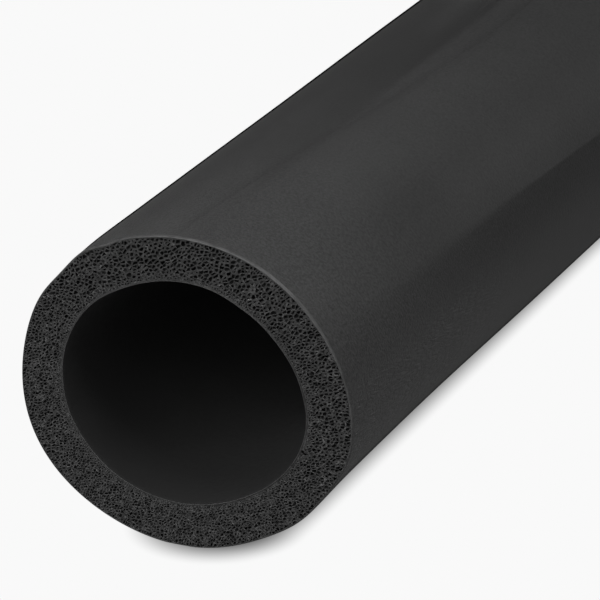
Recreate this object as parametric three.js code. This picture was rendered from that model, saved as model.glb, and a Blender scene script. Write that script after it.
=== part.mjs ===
// A straight length of black rubber-foam pipe lagging, as it lies on a floor.
// Units are millimetres and +Z is up. The bore runs along +Y, and the origin is on its axis at mid-length.
// The tube is extruded in one piece, so it is one solid: a thick soft wall around an open bore.
import * as THREE from "three";

// Sizes that the tube is sold by
const PIPE_DIAMETER = 48; // outside diameter of the pipe that it lags, which is the bore's when it is round
const WALL = 9;
const LENGTH = 1000;

// What being soft does to it
const SAG = 1.45; // lying free, each half-width gains this and each half-height loses it
const EDGE_ROUND = 0.4; // radius that the skin is drawn in by where the knife cut the ends

// Fineness of the curved faces. The corners start half a step round, so the tube lies on one of its many sides
// and not on a corner. That side is 3 mm wide, about as much as the soft foam flattens under its own weight.
const STEPS_AROUND = 72;
const FIRST_CORNER = Math.PI / STEPS_AROUND;
const STEPS_ON_EDGE = 2;

// Half-width and half-height of the sagged oval that a round of this diameter turns into.
function sagged(diameter) {
  return { halfWidth: diameter / 2 + SAG, halfHeight: diameter / 2 - SAG };
}

// The wall seen from an end: the skin's oval with the bore's oval cut out of it.
function wallSection() {
  const skin = sagged(PIPE_DIAMETER + 2 * WALL);
  const bore = sagged(PIPE_DIAMETER);
  const section = new THREE.Shape();
  section.absellipse(0, 0, skin.halfWidth, skin.halfHeight, FIRST_CORNER, FIRST_CORNER + 2 * Math.PI);
  const hole = new THREE.Path();
  hole.absellipse(0, 0, bore.halfWidth, bore.halfHeight, FIRST_CORNER, FIRST_CORNER + 2 * Math.PI);
  section.holes.push(hole);
  return section;
}

// The section drawn out to the tube's length. The rounded edges are part of that length.
function foamTube() {
  const geometry = new THREE.ExtrudeGeometry(wallSection(), {
    depth: LENGTH - 2 * EDGE_ROUND,
    steps: 1,
    curveSegments: STEPS_AROUND / 2, // an ellipse is given two points for each segment
    bevelEnabled: true,
    bevelThickness: EDGE_ROUND,
    bevelSize: EDGE_ROUND,
    bevelOffset: -EDGE_ROUND,
    bevelSegments: STEPS_ON_EDGE,
  });
  const material = new THREE.MeshStandardMaterial({
    color: 0x3a3a3b,
    roughness: 0.85,
    metalness: 0,
  });
  const tube = new THREE.Mesh(geometry, material);
  tube.name = "foam_tube";
  // The extrusion runs up its own +Z, so it is laid down along Y and centred on the origin.
  tube.rotation.x = Math.PI / 2;
  tube.position.y = LENGTH / 2 - EDGE_ROUND;
  return tube;
}

const lagging = new THREE.Group();
lagging.add(foamTube());

export default lagging;
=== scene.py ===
import math
import random
from collections import namedtuple

import bpy
import numpy as np
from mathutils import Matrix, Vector
from mathutils.geometry import delaunay_2d_cdt


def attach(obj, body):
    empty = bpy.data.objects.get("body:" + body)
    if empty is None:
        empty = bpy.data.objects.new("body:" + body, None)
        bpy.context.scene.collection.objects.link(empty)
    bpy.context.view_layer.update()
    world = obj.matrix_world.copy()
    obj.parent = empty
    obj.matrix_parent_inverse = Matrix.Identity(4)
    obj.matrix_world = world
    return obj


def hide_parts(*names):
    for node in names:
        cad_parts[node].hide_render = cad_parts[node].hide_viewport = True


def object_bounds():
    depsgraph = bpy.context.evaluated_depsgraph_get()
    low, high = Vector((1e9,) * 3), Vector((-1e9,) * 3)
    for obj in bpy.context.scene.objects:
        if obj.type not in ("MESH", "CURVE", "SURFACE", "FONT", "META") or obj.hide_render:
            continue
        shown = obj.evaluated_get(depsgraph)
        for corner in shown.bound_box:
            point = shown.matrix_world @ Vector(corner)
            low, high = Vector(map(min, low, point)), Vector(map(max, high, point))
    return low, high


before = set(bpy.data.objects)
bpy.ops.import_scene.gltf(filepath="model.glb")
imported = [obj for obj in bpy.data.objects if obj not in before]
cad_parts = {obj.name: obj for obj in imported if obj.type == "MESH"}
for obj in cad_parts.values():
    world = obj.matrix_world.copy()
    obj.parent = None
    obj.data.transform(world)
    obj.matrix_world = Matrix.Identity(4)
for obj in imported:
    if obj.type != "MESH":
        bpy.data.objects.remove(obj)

cad_low, cad_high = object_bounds()


# Foam tube
# One length of black rubber foam. The compound is extruded as a tube and swells in an oven, which leaves
# a smooth skin outside and in the bore. It is soft, so it lies a little oval, and its cut ends relax into
# faint lobes. Sizes are in millimetres.
MM = 0.001
FULL_TURN = 2 * math.pi
WALL = 9.0
LENGTH = (cad_high.y - cad_low.y) / MM
HALF_WIDTH = cad_high.x / MM
HALF_HEIGHT = cad_high.z / MM
ROUND_RADIUS = (HALF_WIDTH + HALF_HEIGHT) / 2

# The section is a little fuller than an oval, up and away from the floor.
FULLER = 0.17
LEAN = (-0.15, 0.15)

# Lobes at a cut end: how many there are round the tube, and their cosine and sine parts.
SKIN_LOBES = ((3, 0.36, -0.10), (4, 0.06, 0.06), (5, 0.13, -0.17))
BORE_LOBES = ((3, 0.17, -0.08), (4, 0.08, -0.17), (5, 0.04, 0.08))
LOBES_FADE_OVER = 60.0
FAR_END_TURN = 2.2  # the far end's lobes are turned by this many radians

# Long shallow waves in the skin: height, waves round the tube, wavelength along it and phase.
SKIN_WAVES = ((0.03, 2, 190.0, 0.4), (0.03, 3, -130.0, 1.9), (0.02, 5, 85.0, 4.1))

# Dents and bulges: height, turn in degrees, run, and how far they reach in degrees and millimetres.
SKIN_DENTS = (
    (-0.66, -41, 68, 25, 55),
    (0.45, -13, 0, 11, 30),
    (0.62, -46, 0, 13, 9),
    (0.32, 58, 0, 30, 25),
    (-0.70, 117, 0, 6, 5),
    (-0.26, 104, 0, 8, 8),
    (-0.76, 138, 0, 10, 8),
    (-0.27, 178, 0, 32, 20),
    (-0.10, 46, 46, 9, 20),
    (-0.35, 150, 640, 30, 90),
    (-0.30, 60, 830, 25, 60),
)
BORE_DENTS = (
    (-0.30, 36, 0, 16, 25),
    (-0.36, 11, 0, 14, 25),
    (-0.26, 62, 0, 10, 25),
    (0.22, 135, 0, 11, 25),
    (-0.10, 162, 0, 9, 25),
    (0.28, 199, 0, 13, 25),
    (0.21, 272, 0, 17, 25),
    (-0.08, 306, 0, 8, 25),
)


def lobes(turn, parts):
    """Height of the lobes at this turn round the tube, in radians from its right-hand side up."""
    return sum(c * np.cos(n * turn) + s * np.sin(n * turn) for n, c, s in parts)


def swelling(turn, run, parts):
    """Height that the lobes of the near end and the far end have at this run along the tube."""
    near = np.exp(-run / LOBES_FADE_OVER)
    far = np.exp(-(LENGTH - run) / LOBES_FADE_OVER)
    return near * lobes(turn, parts) + far * lobes(turn + FAR_END_TURN, parts)


def waves(turn, run):
    """Height of the skin's long waves."""
    return sum(h * np.sin(n * turn + FULL_TURN * run / pitch + phase) for h, n, pitch, phase in SKIN_WAVES)


def dents(turn, run, marks):
    """Height of the dents and bulges."""
    height = 0
    for rise, middle, place, reach_round, reach_along in marks:
        off = (np.degrees(turn) - middle + 180) % 360 - 180
        height = height + rise * np.exp(-((off / reach_round) ** 2) - ((run - place) / reach_along) ** 2)
    return height


def wall_points(turn, depth, run):
    """Points of the wall by turn round it, depth under the skin and run from the near end."""
    turn, depth, run = np.broadcast_arrays(turn, depth, run)
    share = np.clip(depth / WALL, 0.0, 1.0)
    lean = LEAN[0] * np.cos(turn) + LEAN[1] * np.sin(turn)
    skin_out = swelling(turn, run, SKIN_LOBES) + dents(turn, run, SKIN_DENTS)
    skin_out = skin_out + waves(turn, run) + FULLER + lean
    bore_out = swelling(turn, run, BORE_LOBES) + dents(turn, run, BORE_DENTS)
    out = skin_out * (1 - share) + bore_out * share - depth
    x = (HALF_WIDTH + out) * np.cos(turn)
    z = (HALF_HEIGHT + out) * np.sin(turn)
    z = np.maximum(z, -HALF_HEIGHT)  # the floor flattens it
    return np.stack([x, run - LENGTH / 2, z], axis=-1)


# The whole tube is one mesh: its points, and each face's corners, finish, and tone from dark to light.
FINISHES = ("skin", "bore", "rim", "cut", "cell")
PLAIN_TONE = 0.5
points = []
faces = []
face_finish = []
face_tone = []


def add_points(turn, depth, run):
    """Adds wall points to the mesh and returns their numbers."""
    new = wall_points(turn, depth, run).reshape(-1, 3)
    first = sum(len(p) for p in points)
    points.append(new)
    return np.arange(first, first + len(new))


def add_face(corners, finish, tone=PLAIN_TONE):
    """Adds a face with a finish out of FINISHES."""
    faces.append(tuple(int(c) for c in corners))
    face_finish.append(FINISHES.index(finish))
    face_tone.append(tone)


# Both edges of a cut are a little rounded. The skin's edge is a solid rim, which hands and the knife's flat
# have rubbed wider on one side; that side faces the light, and the rim is painted paler there, a painted
# highlight. The bore's edge is painted a little paler, a painted highlight, and darker at one place, painted
# shade.
EDGE_STEPS = 4
SKIN_EDGE_ROUND = 0.42
BORE_EDGE_ROUND = 0.15
WORN_AND_LIT_SIDE = math.radians(70)
WEAR_AND_HIGHLIGHT_POWER = 1.6  # how fast the rubbing and the painted highlight fall off to the other side
THINNEST_RIM = 0.3  # as a share of its widest
# Painted highlight and shade: the bore's edge faces are painted a little paler than the bore, and darker at
# one place.
BORE_EDGE_HIGHLIGHT_TONE = 0.57
BORE_EDGE_PAINTED_SHADE = ((-0.35, 256, 0, 24, 1),)  # laid out as a dent is, with a tone for its height


def wear_and_painted_highlight(turn):
    """How much the rim is rubbed at this turn. It sets the rim's width, and also its painted highlight."""
    return (0.5 + 0.5 * np.cos(turn - WORN_AND_LIT_SIDE)) ** WEAR_AND_HIGHLIGHT_POWER


def rim_share(turn):
    """Width of the rim at this turn, as a share of its widest."""
    return THINNEST_RIM + (1 - THINNEST_RIM) * wear_and_painted_highlight(turn)


def edge_rows(radius, side, turns):
    """Rows of (depth, run) that round an edge off, from the cut face to the skin or the bore."""
    rounding = radius * (rim_share(turns) if side == "skin" else 1.0)
    rows = []
    for step in range(EDGE_STEPS + 1):
        angle = step / EDGE_STEPS * math.pi / 2
        inset = rounding * (1 - math.sin(angle))
        rows.append((inset if side == "skin" else WALL - inset, rounding * (1 - math.cos(angle))))
    return rows


def runs_along(first, growth, longest):
    """Runs from near the cut to mid-length, spaced wider and wider up to the longest step."""
    run = first
    step = first
    while run < LENGTH / 2:
        yield run
        step = min(step * growth, longest)
        run += step


def grid(side, columns, radius, first, growth, longest):
    """Skin or bore as a grid from cut to cut. Returns its turns, and its first and last row of points."""
    turns = np.arange(columns) * FULL_TURN / columns
    near = edge_rows(radius, side, turns)
    depth = near[-1][0]
    near += [(depth, run) for run in runs_along(first, growth, longest)]
    rows = near + [(d, LENGTH - run) for d, run in reversed(near)]
    numbers = [add_points(turns, d, run) for d, run in rows]
    for row, (low, high) in enumerate(zip(numbers, numbers[1:])):
        on_edge = min(row, len(rows) - 2 - row) < EDGE_STEPS
        for i in range(columns):
            j = (i + 1) % columns
            corners = (low[i], high[i], high[j], low[j])
            if side == "bore":
                # Painted highlight on the bore's edge, with painted shade at one place.
                tone = BORE_EDGE_HIGHLIGHT_TONE + dents(turns[i], 0, BORE_EDGE_PAINTED_SHADE) if on_edge else PLAIN_TONE
                add_face(corners[::-1], "bore", tone)
            elif on_edge:
                # Painted highlight: the rim's tone is palest on its lit side.
                add_face(corners, "rim", wear_and_painted_highlight(turns[i]))
            else:
                add_face(corners, "skin")
    return turns, numbers[0], numbers[-1]


skin_turns, skin_near, skin_far = grid(
    "skin", columns=180, radius=SKIN_EDGE_ROUND, first=0.8, growth=1.28, longest=9.0
)
bore_turns, bore_near, bore_far = grid(
    "bore", columns=90, radius=BORE_EDGE_ROUND, first=1.5, growth=1.5, longest=30.0
)


# Cut ends
# A long knife cuts the tube square and lays the closed cells of the foam open. Each is a small cup between
# thin walls, a darker finish inside and painted darker still, as painted shade. The cells are finer beside
# the bore and the skin, where the foam is densest.
CELL_SIZES = ((1.03, 1500), (0.80, 9000), (0.65, 14000), (0.50, 24000))  # across, and tries at each
SIZE_SPREAD = 0.2
PACKING = 0.80  # neighbours' centres may come this near, as a share of their mean size
SQUARE_SIDE = 1.4 * CELL_SIZES[0][0]  # of the squares in which near centres are looked up
DENSE_ZONE = 1.6
DENSE_SHARE = 0.6  # size beside the bore, as a share of that in mid-wall
SKIN_START = 0.5  # beside the skin they are this far on from that share to the size in mid-wall
COARSE_SIDE = math.radians(80)
COARSER_BY = 0.16
DRAG = math.radians(36)  # the knife's path over the cut, along which the cells lie longer
LONGER = 1.4
CUT_RIM = 0.5  # solid rubber at the skin's edge, where it is widest
RIM_FADE = 2.0  # where it is thinner, the cells are spread out over this much of the wall
BORE_RIM = 0.36
MIRRORED_ZONE = 1.9  # centres this near an edge are mirrored across it
SHAKEN = 0.02  # and shaken by this, so that no four of them lie on one circle
SAME_PLACE = 1e-7
SHORTEST_SIDE = 0.05  # shorter sides of a cell are merged away


def local_share(radius, turn, inner, outer):
    """Size of the cells at a place on the cut, as a share of the plain size."""
    to_bore = min((radius - inner) / DENSE_ZONE, 1.0)
    to_skin = min((outer - radius) / DENSE_ZONE + SKIN_START, 1.0)
    share = DENSE_SHARE + (1 - DENSE_SHARE) * min(to_bore, to_skin)
    return share * (1 + COARSER_BY * math.cos(turn - COARSE_SIDE))


def cell_centres(rng, inner, outer):
    """Places scattered over the cut, the largest cells first and smaller ones in the gaps they leave."""
    around = [(i, j) for i in (-1, 0, 1) for j in (-1, 0, 1)]
    taken = {}
    places = []
    for plain_size, tries in CELL_SIZES:
        for _ in range(tries):
            radius = math.sqrt(rng.uniform(inner**2, outer**2))
            turn = rng.uniform(0, FULL_TURN)
            size = plain_size * rng.uniform(1 - SIZE_SPREAD, 1 + SIZE_SPREAD)
            size *= local_share(radius, turn, inner, outer)
            if min(radius - inner, outer - radius) < size * PACKING / 2:
                continue
            x = radius * math.cos(turn - DRAG) / LONGER
            z = radius * math.sin(turn - DRAG) * LONGER
            column, row = int(x // SQUARE_SIDE), int(z // SQUARE_SIDE)
            near = (p for i, j in around for p in taken.get((column + i, row + j), ()))
            if all(math.hypot(x - u, z - v) > PACKING * (size + other) / 2 for u, v, other in near):
                taken.setdefault((column, row), []).append((x, z, size))
                places.append((radius * math.cos(turn), radius * math.sin(turn)))
    return np.array(places)


def mirrored(rng, centres, inner, outer):
    """Copies of the outermost and innermost centres across the edges, which make the cells end there."""
    radius = np.hypot(*centres.T)
    copies = []
    for edge in (inner, outer):
        near = np.flatnonzero(np.abs(radius - edge) < MIRRORED_ZONE)
        shaken = [2 * edge - radius[n] + rng.uniform(-SHAKEN, SHAKEN) for n in near]
        copies.append(centres[near] * (shaken / radius[near])[:, None])
    return np.concatenate(copies)


def circle_centres(a, b, c):
    """Centres of the circles through three points each."""
    ab = b - a
    ac = c - a
    twice = 2 * (ab[:, 0] * ac[:, 1] - ab[:, 1] * ac[:, 0])
    ab2 = (ab**2).sum(1)
    ac2 = (ac**2).sum(1)
    across = np.stack([ac[:, 1] * ab2 - ab[:, 1] * ac2, ab[:, 0] * ac2 - ac[:, 0] * ab2], 1)
    return a + across / twice[:, None]


def without_short_sides(corners, outlines):
    """The outlines with both ends of each very short side made one corner."""
    kept_as = {}
    for outline in outlines:
        for one, other in zip(outline, outline[1:] + outline[:1]):
            one, other = kept_as.get(one, one), kept_as.get(other, other)
            if one != other and np.hypot(*(corners[one] - corners[other])) < SHORTEST_SIDE:
                kept_as = {number: one if kept == other else kept for number, kept in kept_as.items()}
                kept_as[other] = one
    outlines = [[kept_as.get(number, number) for number in outline] for outline in outlines]
    return [[n for k, n in enumerate(outline) if n != outline[k - 1]] for outline in outlines]


def cell_outlines(rng, centres, inner, outer):
    """Corners of the cells' outlines, and for each cell its corners' numbers in order round it."""
    sites = np.concatenate([centres, mirrored(rng, centres, inner, outer)])
    _, _, triangles, origins, *_ = delaunay_2d_cdt([Vector(s) for s in sites], [], [], 0, SAME_PLACE)
    triangles = np.array([[origins[v][0] for v in triangle] for triangle in triangles])
    corners = circle_centres(*(sites[triangles[:, k]] for k in range(3)))
    # Round each site, a step goes from one neighbour to the next, past the corner between them.
    steps = [{} for _ in sites]
    for number, (a, b, c) in enumerate(triangles):
        steps[a][b] = (c, number)
        steps[b][c] = (a, number)
        steps[c][a] = (b, number)
    outlines = []
    for site in range(len(centres)):
        start = next(iter(steps[site]))
        neighbour = start
        outline = []
        while not outline or neighbour != start:
            neighbour, number = steps[site][neighbour]
            outline.append(number)
        outlines.append(outline)
    return corners, without_short_sides(corners, outlines)


def edge_loops(outlines):
    """The loops of corners that only one cell uses: round the skin's side and round the bore's side."""
    used = set()
    for outline in outlines:
        used.update(zip(outline, outline[1:] + outline[:1]))
    following = {a: b for a, b in used if (b, a) not in used}
    loops = []
    while following:
        start = next(iter(following))
        loop = [start]
        step = following.pop(start)
        while step != start:
            loop.append(step)
            step = following.pop(step)
        loops.append(loop)
    return loops


# Waves that the knife leaves in the cut: height, how fast they run across and up it, and phase.
KNIFE_WAVES = ((0.10, 0.11, 0.05, 0.3), (0.06, -0.09, 0.21, 2.0), (0.03, 0.5, 0.3, 1.0))
UNEVEN = 0.05  # how far below the knife's path the tops of the cell walls lie

# Short tears in the bore's edge at the near end: turn in degrees, length and half-width.
TEARS = ((-19.5, 1.5, 0.2), (254.0, 0.7, 0.16), (259.0, 0.5, 0.14))

# How far a cell is cut open, as a share of its outline, and how that varies from corner to corner.
OPEN_LEAST, OPEN_MOST = 0.36, 1.1
RAGGED_LEAST, RAGGED_MOST = 0.65, 1.25
WIDEST = 0.92  # no corner opens further
NARROWED = 0.74  # openings are dragged this much narrower across the knife's path
OPENER_COARSE = 0.06
PATCHY = 0.35  # how much wider and narrower the cells open from patch to patch
PATCHES = ((2.9, 1.1, 0.2), (-1.3, 2.4, 1.4), (1.9, -2.2, 2.9), (0.6, 3.3, 4.1))
SOLID_ZONE = 1.3  # beside the bore the cells are hardly open
SOLID_SHUT = 0.45
ASIDE = 0.1  # how far the opening lies off the cell's middle, as a share of its size
BOTTOM_LEAST, BOTTOM_MOST = 0.5, 3.0  # and the cup's bottom, in times that way
CUP_LEAST, CUP_MOST = 0.7, 1.5  # depth of a cup by its opening's radius

# Tones: walls are mostly dark, some are painted pale as glints, and cups are paler and more even beside the
# bore. The cups' dark is partly painted shade, and the tears are painted black as shade.
MOSTLY_DARK = 1.6  # power that makes more walls dark than pale
PALEST_WALL = 0.57
WHOLE_CELL = 0.3  # share of a wall's tone that all walls of its cell have in common
DARKER_COARSE = 0.25
PAINTED_GLINTS = 0.035  # share of the cell walls that are painted pale, as glints
GLINT_LEAST, GLINT_MOST = 0.45, 0.85
CUP_PALER = 0.5
CUP_EVENED = 0.4
BORE_RIM_TONE = 0.17
BORE_RIM_MIDDLE = 0.2  # from the bore

Cell = namedtuple("Cell", "rim lip bottom cup_tone wall_tone coarse flecks")


def torn(turn, from_bore, near):
    """Whether this place on the cut is in a tear."""
    radius = ROUND_RADIUS - WALL + from_bore
    for middle, length, half_width in TEARS:
        off = (turn - math.radians(middle) + math.pi) % FULL_TURN - math.pi
        if near and abs(off) * radius < half_width and from_bore < length:
            return True
    return False


def knife_height(x, z):
    """How far below the square cut the knife ran here."""
    return sum(h * (1 + np.sin(u * x + v * z + phase)) for h, u, v, phase in KNIFE_WAVES) / 2


def outward(corners, near):
    """A face's corners in the order that turns it out of the tube's end."""
    return corners if near else corners[::-1]


def stitch(inner, inner_turns, outer, outer_turns, near, by_skin):
    """Fills the strip between two rings of points, each in order of turn, with triangles."""
    inner_turns = np.append(inner_turns, inner_turns[0] + FULL_TURN)
    outer_turns = np.append(outer_turns, outer_turns[0] + FULL_TURN)
    inner = np.append(inner, inner[0])
    outer = np.append(outer, outer[0])
    i = 0
    j = 0
    while i < len(inner) - 1 or j < len(outer) - 1:
        inner_next = inner_turns[i + 1] if i < len(inner) - 1 else math.inf
        outer_next = outer_turns[j + 1] if j < len(outer) - 1 else math.inf
        if inner_next < outer_next:
            corners = (inner[i], outer[j], inner[i + 1])
            turn = inner_next
            i += 1
        else:
            corners = (inner[i], outer[j], outer[j + 1])
            turn = outer_next
            j += 1
        if by_skin:
            # Painted highlight: the rim's tone is palest on its lit side.
            add_face(outward(corners, near), "rim", wear_and_painted_highlight(turn))
        elif torn(turn, BORE_RIM_MIDDLE, near):
            # Painted shade: a tear's faces take the darkest cell tone.
            add_face(outward(corners, near), "cell", 0)
        else:
            add_face(outward(corners, near), "cut", BORE_RIM_TONE)


def open_cells(rng, corners, outlines, inner, near):
    """Cuts each cell open. Returns the cut's spots by x and z, how far each is sunk, which spot each
    corner is, and the cells.
    """
    spots = []
    sinks = []
    spot_of = {}
    for corner in sorted({number for outline in outlines for number in outline}):
        spot_of[corner] = len(spots)
        spots.append(corners[corner])
        sinks.append(knife_height(*corners[corner]) + rng.uniform(0, UNEVEN))
    along_drag = np.array([math.cos(DRAG), math.sin(DRAG)])
    cells = []
    for outline in outlines:
        rim = [spot_of[corner] for corner in outline]
        middle = np.mean([spots[n] for n in rim], axis=0)
        turn = math.atan2(middle[1], middle[0])
        radius = np.hypot(*middle)
        coarse = math.cos(turn - COARSE_SIDE)
        solid = 1 - min((radius - inner) / SOLID_ZONE, 1)
        patchy = np.mean([math.sin(u * middle[0] + v * middle[1] + phase) for u, v, phase in PATCHES])
        opening = rng.uniform(OPEN_LEAST, OPEN_MOST) + OPENER_COARSE * coarse + PATCHY * patchy
        opening = min(max(opening, OPEN_LEAST), WIDEST) * (1 - SOLID_SHUT * solid)
        in_tear = torn(turn, radius - ROUND_RADIUS + WALL, near)
        if in_tear:
            opening = WIDEST
        sink = knife_height(*middle)
        size = np.mean([np.hypot(*(spots[n] - middle)) for n in rim])
        aside = np.array([rng.uniform(-ASIDE, ASIDE), rng.uniform(-ASIDE, ASIDE)]) * size
        lip = []
        for n in rim:
            lip.append(len(spots))
            share = min(opening * rng.uniform(RAGGED_LEAST, RAGGED_MOST), WIDEST)
            out = spots[n] - middle
            out = NARROWED * out + (1 - NARROWED) * (out @ along_drag) * along_drag
            spots.append(middle + aside + out * share)
            sinks.append(sink + rng.uniform(0, UNEVEN))
        bottom = len(spots)
        spots.append(middle + aside * rng.uniform(BOTTOM_LEAST, BOTTOM_MOST))
        sinks.append(sink + opening * size * rng.uniform(CUP_LEAST, CUP_MOST))
        # Painted shade: a cup in a tear takes the darkest tone.
        cup_tone = 0 if in_tear else rng.random() * (1 - CUP_EVENED * solid) + CUP_PALER * solid
        wall_tone = rng.random() ** MOSTLY_DARK
        cells.append(Cell(rim, lip, bottom, cup_tone, wall_tone, coarse, PAINTED_GLINTS * (1 - solid)))
    return np.array(spots), np.array(sinks), spot_of, cells


def add_cell(rng, cell, spots, depth, numbers, near):
    """Adds a cell's faces: the tops of its walls, between its outline and its opening, and its cup."""
    for k in range(len(cell.rim)):
        m = (k + 1) % len(cell.rim)
        top = [cell.rim[k], cell.rim[m], cell.lip[m], cell.lip[k]]
        cup = [cell.lip[k], cell.lip[m], cell.bottom]
        x, z = np.mean(spots[top], axis=0)
        if torn(math.atan2(z, x), WALL - np.mean(depth[top]), near):
            # Painted shade: wall tops in a tear take the darkest cell tone.
            finish = "cell"
            tone = 0
        elif rng.random() < cell.flecks:
            # Painted glint: a pale wall top.
            finish = "cut"
            tone = rng.uniform(GLINT_LEAST, GLINT_MOST)
        else:
            finish = "cut"
            paler = WHOLE_CELL * cell.wall_tone + (1 - WHOLE_CELL) * rng.random() ** MOSTLY_DARK
            tone = PALEST_WALL * paler * (1 - DARKER_COARSE * cell.coarse)
        add_face(outward(numbers[top], near), finish, tone)
        add_face(outward(numbers[cup], near), "cell", cell.cup_tone)


def cut_end(near, seed):
    """Opens one end of the tube: cells over the whole cut, stitched to the skin and to the bore."""
    rng = random.Random(seed)
    inner = ROUND_RADIUS - WALL + BORE_RIM
    outer = ROUND_RADIUS - CUT_RIM
    centres = cell_centres(rng, inner, outer)
    corners, outlines = cell_outlines(rng, centres, inner, outer)
    spots, sinks, spot_of, cells = open_cells(rng, corners, outlines, inner, near)
    turn = np.arctan2(spots[:, 1], spots[:, 0])
    depth = ROUND_RADIUS - np.hypot(*spots.T)
    beside_rim = np.clip(1 - (depth - CUT_RIM) / RIM_FADE, 0, 1)
    depth = depth - CUT_RIM * (1 - rim_share(turn)) * beside_rim
    numbers = add_points(turn, depth, sinks if near else LENGTH - sinks)
    for cell in cells:
        add_cell(rng, cell, spots, depth, numbers, near)
    for loop in edge_loops(outlines):
        ring = np.array([spot_of[corner] for corner in loop])
        way_round = np.unwrap(turn[ring])
        if way_round[-1] < way_round[0]:
            ring = ring[::-1]
        ring = np.roll(ring, -np.argmin(turn[ring] % FULL_TURN))
        ring_turns = np.unwrap(turn[ring] % FULL_TURN)
        if depth[ring[0]] < WALL / 2:
            skin_ring = skin_near if near else skin_far
            stitch(numbers[ring], ring_turns, skin_ring, skin_turns, near, by_skin=True)
        else:
            bore_ring = bore_near if near else bore_far
            stitch(bore_ring, bore_turns, numbers[ring], ring_turns, near, by_skin=False)


cut_end(True, seed=11)
cut_end(False, seed=29)


# Rubber finishes
# The same black compound shows five ways: the grained matt skin, its rubbed rim with a painted highlight,
# the smoother bore, the tops of the cell walls that the knife cut, and the insides of the cells, painted
# darker in part as shade. The skin has faint lengthwise creases from packing, and short fine wrinkles where
# the tube was squeezed low on its flank. Some of its paler and darker marks are painted light and shade.
def new_group(name, inputs, outputs):
    """A node group with named number sockets. An input that is named Place is a vector."""
    group = bpy.data.node_groups.new(name, "ShaderNodeTree")
    for label, value in inputs.items():
        kind = "NodeSocketVector" if label == "Place" else "NodeSocketFloat"
        socket = group.interface.new_socket(name=label, in_out="INPUT", socket_type=kind)
        if value is not None:
            socket.default_value = value
    for label in outputs:
        group.interface.new_socket(name=label, in_out="OUTPUT", socket_type="NodeSocketFloat")
    return group, group.nodes.new("NodeGroupInput").outputs, group.nodes.new("NodeGroupOutput").inputs


def feed(tree, socket, value):
    """Gives a socket a number, or links it to another node's output."""
    if isinstance(value, (int, float)):
        socket.default_value = value
    else:
        tree.links.new(value, socket)


def calc(tree, operation, *values):
    """A maths node's result."""
    node = tree.nodes.new("ShaderNodeMath")
    node.operation = operation
    for socket, value in zip(node.inputs, values):
        feed(tree, socket, value)
    return node.outputs[0]


def spread(tree, value, low, high, to_low=0.0, to_high=1.0, smooth=False):
    """Maps the range from low to high onto another range."""
    node = tree.nodes.new("ShaderNodeMapRange")
    node.interpolation_type = "SMOOTHSTEP" if smooth else "LINEAR"
    for label, number in (("From Min", low), ("From Max", high), ("To Min", to_low), ("To Max", to_high)):
        feed(tree, node.inputs[label], number)
    feed(tree, node.inputs["Value"], value)
    return node.outputs["Result"]


def bell(tree, value, middle, reach):
    """One at the middle, and falling off past its reach on either side."""
    off = calc(tree, "DIVIDE", calc(tree, "SUBTRACT", value, middle), reach)
    return calc(tree, "EXPONENT", calc(tree, "MULTIPLY", calc(tree, "MULTIPLY", off, off), -1))


def added_up(tree, marks, start):
    """The sum of marks, each by its own strength."""
    total = start
    for mark, strength in marks:
        total = calc(tree, "MULTIPLY_ADD", mark, strength, total)
    return total


def cloud(tree, place, size, detail, roughness):
    """Noise whose patches are about this size in millimetres."""
    node = tree.nodes.new("ShaderNodeTexNoise")
    node.inputs["Detail"].default_value = detail
    node.inputs["Roughness"].default_value = roughness
    feed(tree, node.inputs["Vector"], place)
    feed(tree, node.inputs["Scale"], calc(tree, "DIVIDE", 1 / MM, size))
    return node.outputs["Fac"]


grain_group, given, result = new_group(
    "Fine rubber grain", {"Place": None, "Grain size": 0.5, "Mottle size": 12.0}, ("Grain", "Mottle")
)
fine = cloud(grain_group, given["Place"], given["Grain size"], detail=3, roughness=0.6)
broad = cloud(grain_group, given["Place"], given["Mottle size"], detail=2, roughness=0.5)
feed(grain_group, result["Grain"], fine)
feed(grain_group, result["Mottle"], broad)

round_group, given, result = new_group("Turn and run", {"Place": None}, ("Turn", "Run"))
parts = round_group.nodes.new("ShaderNodeSeparateXYZ")
feed(round_group, parts.inputs[0], given["Place"])
level = calc(round_group, "MULTIPLY", parts.outputs["Z"], HALF_WIDTH / HALF_HEIGHT)
radians = calc(round_group, "ARCTAN2", level, parts.outputs["X"])
feed(round_group, result["Turn"], calc(round_group, "MULTIPLY", radians, 180 / math.pi))
feed(round_group, result["Run"], calc(round_group, "MULTIPLY_ADD", parts.outputs["Y"], 1 / MM, LENGTH / 2))

# A crease sways round its middle turn along the tube, and can have painted shade on one side of its line.
crease_group, given, result = new_group(
    "Lengthwise crease",
    {
        "Turn": 0.0,
        "Run": 0.0,
        "Middle turn": 20.0,
        "Sway": 8.0,
        "Sway length": 600.0,
        "Width": 5.0,
        "Softness": 1.0,
        "Shade side": -1.0,
        "Shade reach": 30.0,
    },
    ("Line", "Shade"),
)
phase = calc(crease_group, "MULTIPLY", given["Run"], FULL_TURN)
sway = calc(crease_group, "COSINE", calc(crease_group, "DIVIDE", phase, given["Sway length"]))
line_turn = calc(crease_group, "MULTIPLY_ADD", sway, given["Sway"], given["Middle turn"])
off_line = calc(crease_group, "SUBTRACT", given["Turn"], line_turn)
soft_squared = calc(crease_group, "MULTIPLY", given["Softness"], given["Softness"])
off_squared = calc(crease_group, "MULTIPLY_ADD", off_line, off_line, soft_squared)
widths_off = calc(crease_group, "DIVIDE", calc(crease_group, "SQRT", off_squared), given["Width"])
line = calc(crease_group, "EXPONENT", calc(crease_group, "MULTIPLY", widths_off, -1))
to_side = calc(crease_group, "MULTIPLY", off_line, given["Shade side"])
before = calc(crease_group, "MULTIPLY", given["Softness"], -1)
shade_in = spread(crease_group, to_side, before, given["Softness"])
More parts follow.
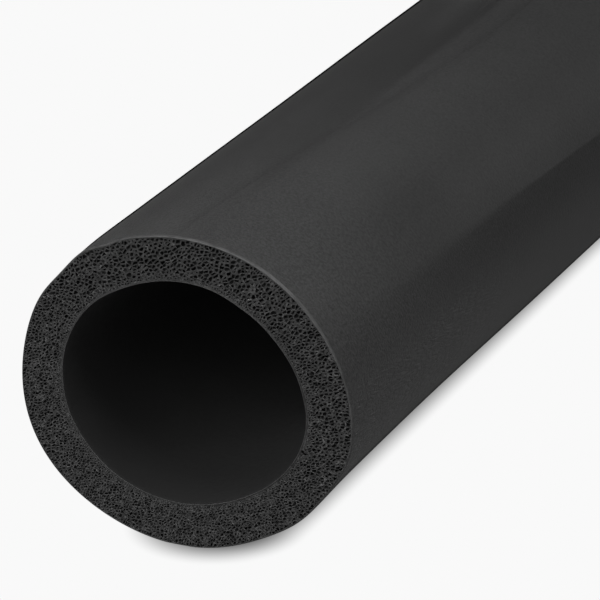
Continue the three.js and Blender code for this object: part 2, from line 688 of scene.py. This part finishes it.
shade_out = spread(crease_group, to_side, given["Softness"], given["Shade reach"], 1.0, 0.0, smooth=True)
feed(crease_group, result["Line"], line)
feed(crease_group, result["Shade"], calc(crease_group, "MULTIPLY", shade_in, shade_out))

WRINKLE_SLANT = math.radians(-10)
WRINKLE_LENGTH = 6  # in times its width
wrinkle_group, given, result = new_group("Short wrinkles", {"Place": None, "Wrinkle size": 0.7}, ("Height",))
stretch = wrinkle_group.nodes.new("ShaderNodeMapping")
stretch.vector_type = "TEXTURE"
stretch.inputs["Rotation"].default_value = (WRINKLE_SLANT, 0, 0)
stretch.inputs["Scale"].default_value = (1, WRINKLE_LENGTH, 1)
feed(wrinkle_group, stretch.inputs["Vector"], given["Place"])
folds = cloud(wrinkle_group, stretch.outputs[0], given["Wrinkle size"], detail=1, roughness=0.5)
folds = calc(wrinkle_group, "ABSOLUTE", calc(wrinkle_group, "SUBTRACT", folds, 0.5))
feed(wrinkle_group, result["Height"], folds)

NOISE_LOW, NOISE_HIGH = 0.3, 0.7  # noise seldom leaves this range


def use_group(tree, group, **inputs):
    """Places a node group, with an input's underscores standing for spaces. Returns its outputs."""
    node = tree.nodes.new("ShaderNodeGroup")
    node.node_tree = group
    for label, value in inputs.items():
        feed(tree, node.inputs[label.replace("_", " ")], value)
    return node.outputs


def rubber(name, grey, grey_spread, roughness, roughness_spread, grain_size, mottle_size, specular):
    """A black rubber finish. Returns the material, its place, its grey and its grain, about 0.5."""
    material = bpy.data.materials.new(name)
    material.use_nodes = True
    tree = material.node_tree
    shader = tree.nodes["Principled BSDF"]
    shader.inputs["Specular IOR Level"].default_value = specular
    place = tree.nodes.new("ShaderNodeTexCoord").outputs["Object"]
    grain = use_group(tree, grain_group, Place=place, Grain_size=grain_size, Mottle_size=mottle_size)
    darkest, palest = grey * (1 - grey_spread), grey * (1 + grey_spread)
    cloudy = spread(tree, grain["Mottle"], NOISE_LOW, NOISE_HIGH, darkest, palest)
    glossiest, dullest = roughness - roughness_spread, roughness + roughness_spread
    gloss = spread(tree, grain["Grain"], NOISE_LOW, NOISE_HIGH, glossiest, dullest)
    feed(tree, shader.inputs["Roughness"], gloss)
    return material, place, cloudy, grain["Grain"]


def toned(material, grey, darkest, palest):
    """Multiplies a grey by each face's own tone."""
    tree = material.node_tree
    own_tone = tree.nodes.new("ShaderNodeAttribute")
    own_tone.attribute_name = "tone"
    return calc(tree, "MULTIPLY", grey, spread(tree, own_tone.outputs["Fac"], 0.0, 1.0, darkest, palest))


def complete(material, grey, height):
    """Ends a finish: gives it its grey, and lets its relief in millimetres shape the shading."""
    tree = material.node_tree
    relief = tree.nodes.new("ShaderNodeBump")
    relief.inputs["Distance"].default_value = MM
    feed(tree, relief.inputs["Height"], height)
    shader = tree.nodes["Principled BSDF"]
    feed(tree, shader.inputs["Normal"], relief.outputs["Normal"])
    feed(tree, shader.inputs["Base Color"], grey)


def masked(tree, mask, shader, other_shader):
    """A shader, with another one over it where the mask is one."""
    mix = tree.nodes.new("ShaderNodeMixShader")
    feed(tree, mix.inputs["Fac"], mask)
    tree.links.new(shader, mix.inputs[1])
    tree.links.new(other_shader, mix.inputs[2])
    return mix.outputs[0]


# Where the skin's marks lie: runs from the near cut in millimetres, turns in degrees.
GRAINY_RUN = (8.0, 55.0)
TOP_TURN = 75.0
OFF_TOP = (10.0, 60.0)
CREASE_SHARPENS = (10.0, 110.0)
LOW_SHADE_RUN = (5.0, 75.0)
BAND_RUN = (15.0, 120.0)
LOW_FLANK = (2.0, 16.0)
WRINKLED_RUN = (40.0, 100.0)
TABLE_LIGHT_TURN = (-22.0, 0.0)
TABLE_LIGHT_RUN = (60.0, 140.0)
PATCH_TURN, PATCH_TURN_REACH = 41.0, 14.0
PATCH_RUN, PATCH_RUN_REACH = 48.0, 24.0
STREAK_TURN, STREAK_TURN_REACH = 48.0, 11.0
STREAK_RUN = (15.0, 55.0)
SLOW_LENGTH = 420.0  # the skin is slowly paler and darker along the tube

skin_rubber, place, grey, grain = rubber(
    "Grained rubber skin",
    grey=0.036,
    grey_spread=0.06,
    roughness=0.36,
    roughness_spread=0.06,
    grain_size=0.55,
    mottle_size=14.0,
    specular=0.37,
)
tree = skin_rubber.node_tree
spot = use_group(tree, round_group, Place=place)
turn = spot["Turn"]
run = spot["Run"]

# The grain is strongest beside the cut, and its crests are glossier.
GRAIN_FAR = 0.4
GLOSSY_GRAIN = 0.085
COAT_MOST = 0.36
COAT_ROUGHNESS = 0.36
grain = calc(tree, "SUBTRACT", grain, 0.5)
grain = calc(tree, "MULTIPLY", grain, spread(tree, run, *GRAINY_RUN, 1.0, GRAIN_FAR))
coat = spread(tree, grain, -GLOSSY_GRAIN, GLOSSY_GRAIN, 0.0, COAT_MOST)
skin_shader = tree.nodes["Principled BSDF"]
skin_shader.inputs["Coat Roughness"].default_value = COAT_ROUGHNESS
feed(tree, skin_shader.inputs["Coat Weight"], coat)

# The low crease is soft beside the cut and sharpens along the tube. The high one is fine and sways more,
# and above it a wide band of painted shade darkens the skin.
SOFTEST, SHARPEST = 4.0, 0.5
softness = spread(tree, run, *CREASE_SHARPENS, SOFTEST, SHARPEST)
low_crease = use_group(tree, crease_group, Turn=turn, Run=run, Softness=softness)
high_crease = use_group(
    tree,
    crease_group,
    Turn=turn,
    Run=run,
    Middle_turn=84.0,
    Sway=7.5,
    Sway_length=300.0,
    Width=1.6,
    Softness=0.3,
    Shade_side=1.0,
    Shade_reach=4.0,
)
painted_dark_band = use_group(
    tree,
    crease_group,
    Turn=turn,
    Middle_turn=85.5,
    Sway=0.0,
    Softness=1.5,
    Shade_side=1.0,
    Shade_reach=38.0,
)
wrinkles = use_group(tree, wrinkle_group, Place=place)["Height"]
low_flank = spread(tree, turn, *LOW_FLANK, 1.0, 0.0, smooth=True)
wrinkled_run = spread(tree, run, *WRINKLED_RUN, 1.0, 0.0, smooth=True)
wrinkled = calc(tree, "MULTIPLY", calc(tree, "MULTIPLY", wrinkles, low_flank), wrinkled_run)
# Painted light: the low flank near the cut is painted paler, as if lit from the table below.
painted_table_light_turn = spread(tree, turn, *TABLE_LIGHT_TURN, 1.0, 0.0)
painted_table_light_run = spread(tree, run, *TABLE_LIGHT_RUN, 1.0, 0.0, smooth=True)
painted_table_light = calc(tree, "MULTIPLY", painted_table_light_turn, painted_table_light_run)
# A darker patch, and a darker streak along the upper flank from a little past the cut.
patch_turn = bell(tree, turn, PATCH_TURN, PATCH_TURN_REACH)
patch_run = bell(tree, run, PATCH_RUN, PATCH_RUN_REACH)
patch = calc(tree, "MULTIPLY", patch_turn, patch_run)
darker_streak = bell(tree, turn, STREAK_TURN, STREAK_TURN_REACH)
slow = calc(tree, "COSINE", calc(tree, "MULTIPLY", run, FULL_TURN / SLOW_LENGTH))
off_top = calc(tree, "ABSOLUTE", calc(tree, "SUBTRACT", turn, TOP_TURN))

# Each mark's relief in millimetres, and how much paler it makes the skin, as a share of its grey. The
# creases' shades, the high crease's darker line, the dark band, the wrinkles' paler crests and darker folds,
# and the paler low flank are painted shade and light.
relief_marks = (
    (grain, spread(tree, off_top, *OFF_TOP, 0.11, 0.17)),
    (low_crease["Line"], 0.13),
    (high_crease["Line"], -0.09),
    (wrinkled, 0.65),
)
tone_and_painted_light_marks = (
    (slow, 0.2),
    (grain, 2.0),
    # Painted shade of the wrinkles: crests paler, folds darker.
    (wrinkled, 2.0),
    # Painted shade beside the creases, a painted dark band, and painted shade along the high crease's line.
    (low_crease["Shade"], spread(tree, run, *LOW_SHADE_RUN, 0.0, -0.6)),
    (painted_dark_band["Shade"], spread(tree, run, *BAND_RUN, 0.0, -0.5)),
    (high_crease["Shade"], -0.12),
    (high_crease["Line"], -0.2),
    (patch, -0.42),
    # Painted light from the table on the low flank.
    (painted_table_light, 0.5),
    (darker_streak, spread(tree, run, *STREAK_RUN, 0.0, -0.25)),
)
height = added_up(tree, relief_marks, 0.0)
shade = added_up(tree, tone_and_painted_light_marks, 1.0)
complete(skin_rubber, calc(tree, "MULTIPLY", grey, shade), height)

# Where the skin turns out of sight it is painted nearly black, a painted dark outline in place of its
# grazing reflection, most of all along the top.
PAINTED_OUTLINE_GREY = 0.003
EDGE_FACING = (0.917, 0.945)
EDGE_TURN = (0.0, 90.0)
EDGE_AT_SIDE = 0.3
painted_dark_outline = tree.nodes.new("ShaderNodeBsdfDiffuse")
painted_dark_outline.inputs["Color"].default_value = (PAINTED_OUTLINE_GREY, PAINTED_OUTLINE_GREY, PAINTED_OUTLINE_GREY, 1)
facing = tree.nodes.new("ShaderNodeLayerWeight").outputs["Facing"]
painted_outline_mask = spread(tree, facing, *EDGE_FACING, smooth=True)
painted_outline_mask = calc(tree, "MULTIPLY", painted_outline_mask, spread(tree, turn, *EDGE_TURN, EDGE_AT_SIDE, 1.0))
edged = masked(tree, painted_outline_mask, skin_shader.outputs[0], painted_dark_outline.outputs[0])
feed(tree, tree.nodes["Material Output"].inputs["Surface"], edged)


def plain_finish(name, tones, bump, **kind):
    """A finish without marks: its faces' darkest and palest tone, its relief, and what rubber() takes."""
    material, _, grey, grain = rubber(name, **kind)
    relief = calc(material.node_tree, "MULTIPLY", grain, bump)
    complete(material, toned(material, grey, *tones), relief)
    return material


bore_rubber = plain_finish(
    "Smooth bore wall",
    tones=(0.4, 1.6),
    bump=0.01,
    grey=0.057,
    grey_spread=0.05,
    roughness=0.5,
    roughness_spread=0.04,
    grain_size=1.2,
    mottle_size=20.0,
    specular=0.5,
)
# The rim is paler rubber than the skin, and its faces' tones paint a highlight on its lit side.
rim_rubber = plain_finish(
    "Rubbed rim with painted highlight",
    tones=(0.35, 1.6),
    bump=0.03,
    grey=0.06,
    grey_spread=0.3,
    roughness=0.4,
    roughness_spread=0.05,
    grain_size=0.5,
    mottle_size=1.8,
    specular=0.5,
)
cut_rubber = plain_finish(
    "Knife-cut cell walls",
    tones=(0.3, 4.2),
    bump=0.03,
    grey=0.033,
    grey_spread=0.7,
    roughness=0.6,
    roughness_spread=0.1,
    grain_size=0.2,
    mottle_size=0.35,
    specular=0.5,
)
# The cells' insides are a darker finish than the cut walls, and painted darker still, as painted shade in
# the hollows.
cell_rubber = plain_finish(
    "Insides of opened cells",
    tones=(0.1, 1.9),
    bump=0.02,
    grey=0.008,
    grey_spread=0.3,
    roughness=0.5,
    roughness_spread=0.1,
    grain_size=0.3,
    mottle_size=0.5,
    specular=0.15,
)

mesh = bpy.data.meshes.new("foam_tube_with_open_cells")
mesh.from_pydata((np.concatenate(points) * MM).tolist(), [], faces)
mesh.polygons.foreach_set("material_index", face_finish)
smooth = [FINISHES[number] in ("skin", "bore", "rim") for number in face_finish]
mesh.polygons.foreach_set("use_smooth", smooth)
for material in (skin_rubber, bore_rubber, rim_rubber, cut_rubber, cell_rubber):
    mesh.materials.append(material)
mesh.attributes.new("tone", "FLOAT", "FACE").data.foreach_set("value", face_tone)
mesh.validate()
mesh.update()
tube = bpy.data.objects.new("foam_tube_with_open_cells", mesh)
bpy.context.scene.collection.objects.link(tube)
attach(tube, "root")
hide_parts("foam_tube")


# Studio floor and light
# The tube lies on a pale table that is lit to white and has a painted soft shadow where the tube touches
# it. It is seen from above only. A softbox hangs near the cut end on the camera's side and smaller ones
# around, and pale panels stand further off, so that the black rubber shows its form by soft reflections.
PAPER_WHITE = 0.947
FLOOR_GREY = 0.35
FLOOR_SIDE = 12.0
WORLD_LIGHT = 0.05

# The painted shadow on the table, in millimetres from below the tube's middle and inward from its cut ends.
SHADOW_SHIFT = 1.9
SHADOW_HALF_WIDTH = 18.8
SHADOW_ROUNDS_FROM = 11.9  # its ends are rounded off from here, out past the cut
SHADOW_END = 19.9
SHADOW_POWER = 1.8
SHADOW_DEEPENS = (0.0, 25.0)
SHADOW_DEPTH = (-6.0, -10.7)


def eye_sees(tree, kind, strength, other_shader):
    """An even white glow for the eye, and another shader for all other rays. Returns the glow's node
    and both shaders in one.
    """
    glow = tree.nodes.new(kind)
    glow.inputs["Color"].default_value = (1, 1, 1, 1)
    glow.inputs["Strength"].default_value = strength
    by_eye = tree.nodes.new("ShaderNodeLightPath").outputs["Is Camera Ray"]
    return glow, masked(tree, by_eye, other_shader, glow.outputs[0])


floor_mesh = bpy.data.meshes.new("studio_floor")
half = FLOOR_SIDE / 2
floor_corners = [(-half, -half, 0), (half, -half, 0), (half, half, 0), (-half, half, 0)]
floor_mesh.from_pydata(floor_corners, [], [(0, 1, 2, 3)])
floor = bpy.data.objects.new("studio_floor", floor_mesh)
floor.location.z = cad_low.z
bpy.context.scene.collection.objects.link(floor)

table_top = bpy.data.materials.new("Pale table top")
table_top.use_nodes = True
tree = table_top.node_tree
tree.nodes.remove(tree.nodes["Principled BSDF"])
paper = tree.nodes.new("ShaderNodeBsdfDiffuse")
paper.inputs["Color"].default_value = (FLOOR_GREY, FLOOR_GREY, FLOOR_GREY, 1)
glow, lit_side = eye_sees(tree, "ShaderNodeEmission", PAPER_WHITE, paper.outputs[0])
parts = tree.nodes.new("ShaderNodeSeparateXYZ")
feed(tree, parts.inputs[0], tree.nodes.new("ShaderNodeTexCoord").outputs["Object"])
sideways = calc(tree, "MULTIPLY_ADD", parts.outputs["X"], 1 / MM, -SHADOW_SHIFT)
sideways = calc(tree, "DIVIDE", sideways, SHADOW_HALF_WIDTH)
inward = calc(tree, "MULTIPLY_ADD", calc(tree, "ABSOLUTE", parts.outputs["Y"]), -1 / MM, LENGTH / 2)
ahead = calc(tree, "MAXIMUM", calc(tree, "SUBTRACT", SHADOW_ROUNDS_FROM, inward), 0.0)
ahead = calc(tree, "DIVIDE", ahead, SHADOW_END)
off = calc(tree, "MULTIPLY_ADD", sideways, sideways, calc(tree, "MULTIPLY", ahead, ahead))
inside = calc(tree, "MAXIMUM", calc(tree, "SUBTRACT", 1.0, calc(tree, "SQRT", off)), 0.0)
shadow = calc(tree, "POWER", inside, SHADOW_POWER)
shadow = calc(tree, "MULTIPLY", shadow, spread(tree, inward, *SHADOW_DEEPENS, *SHADOW_DEPTH))
# Painted shadow: the glow's colour darkens where the tube touches the table.
feed(tree, glow.inputs["Color"], calc(tree, "EXPONENT", shadow))
from_below = tree.nodes.new("ShaderNodeNewGeometry").outputs["Backfacing"]
clear = tree.nodes.new("ShaderNodeBsdfTransparent").outputs[0]
one_sided = masked(tree, from_below, lit_side, clear)
feed(tree, tree.nodes["Material Output"].inputs["Surface"], one_sided)
floor_mesh.materials.append(table_top)

world = bpy.data.worlds.new("White studio")
world.use_nodes = True
bpy.context.scene.world = world
tree = world.node_tree
surroundings = tree.nodes["Background"]
surroundings.inputs["Color"].default_value = (1, 1, 1, 1)
surroundings.inputs["Strength"].default_value = WORLD_LIGHT
_, white_sky = eye_sees(tree, "ShaderNodeBackground", PAPER_WHITE, surroundings.outputs[0])
feed(tree, tree.nodes["World Output"].inputs["Surface"], white_sky)

near_cut_middle = Vector((0, cad_low.y, 0))
far_cut_middle = Vector((0, cad_high.y, 0))


def softbox(name, azimuth, elevation, distance, width, height, radiance, faces_to=near_cut_middle, cone=180):
    """An even light that faces a cut end and that no camera sees. Azimuth runs from straight behind it."""
    azimuth = math.radians(azimuth)
    elevation = math.radians(elevation)
    level = math.cos(elevation)
    away = Vector((math.sin(azimuth) * level, math.cos(azimuth) * level, math.sin(elevation)))
    light = bpy.data.lights.new(name, "AREA")
    light.shape = "RECTANGLE"
    light.size = width
    light.size_y = height
    light.energy = radiance * width * height * math.pi
    light.spread = math.radians(cone)
    lamp = bpy.data.objects.new(name, light)
    lamp.location = faces_to + away * distance
    lamp.rotation_euler = away.to_track_quat("Z", "Y").to_euler()
    lamp.visible_camera = False
    bpy.context.scene.collection.objects.link(lamp)


# Each light: azimuth and elevation in degrees, distance, width and height in metres, and radiance.
LIGHTS = {
    "front_softbox": (-167, 24, 0.6, 0.56, 0.48, 2.7),
    "side_softbox": (85, 60, 0.6, 0.5, 0.3, 2.4),
    "left_softbox": (-60, 12, 0.6, 0.25, 0.25, 1.3),
    "low_panel_behind": (24, 12, 2.2, 1.85, 0.92, 0.2),
    "high_panel_behind": (0, 42, 2.2, 2.4, 0.5, 1.25),
    "right_panel_behind": (40, 30, 2.2, 0.6, 0.46, 1.2),
    "left_panel_behind": (-40, 30, 2.2, 0.6, 0.46, 1.4),
    "left_panel_in_front": (-125, 20, 1.8, 1.4, 0.7, 0.4),
}
for name, place_and_size in LIGHTS.items():
    softbox(name, *place_and_size)
softbox("far_softbox", -60, 25, 0.5, 0.35, 0.35, 4.0, faces_to=far_cut_middle, cone=70)


# Camera
# It stands off the near end with a long lens, to the right of the tube and above it, and looks down on
# it, so that the cut face fills the lower left of the frame and the far end lies outside.
LENS = 276.0
SENSOR = 36.0
CLIP_END = 100.0
AZIMUTH = math.radians(23.35)
ELEVATION = math.radians(21.35)
FRAME_PIXELS = 600
NEAR_END_AT = (182.3, 394.3)  # where the middle of the near end shows in the frame
MM_PER_PIXEL = 0.19015  # at the distance of the near end

level = math.cos(ELEVATION)
right = Vector((math.cos(AZIMUTH), math.sin(AZIMUTH), 0))
forward = Vector((-math.sin(AZIMUTH) * level, math.cos(AZIMUTH) * level, -math.sin(ELEVATION)))
up = right.cross(forward)
distance = LENS / SENSOR * FRAME_PIXELS * MM_PER_PIXEL * MM
across = (NEAR_END_AT[0] - FRAME_PIXELS / 2) * MM_PER_PIXEL * MM
above = (FRAME_PIXELS / 2 - NEAR_END_AT[1]) * MM_PER_PIXEL * MM
camera_data = bpy.data.cameras.new("long_lens")
camera_data.lens = LENS
camera_data.sensor_width = SENSOR
camera_data.clip_end = CLIP_END
camera = bpy.data.objects.new("long_lens", camera_data)
camera.location = near_cut_middle - right * across - up * above - forward * distance
camera.rotation_euler = forward.to_track_quat("-Z", "Y").to_euler()
bpy.context.scene.collection.objects.link(camera)
bpy.context.scene.camera = camera
bpy.context.scene.view_settings.view_transform = "Standard"
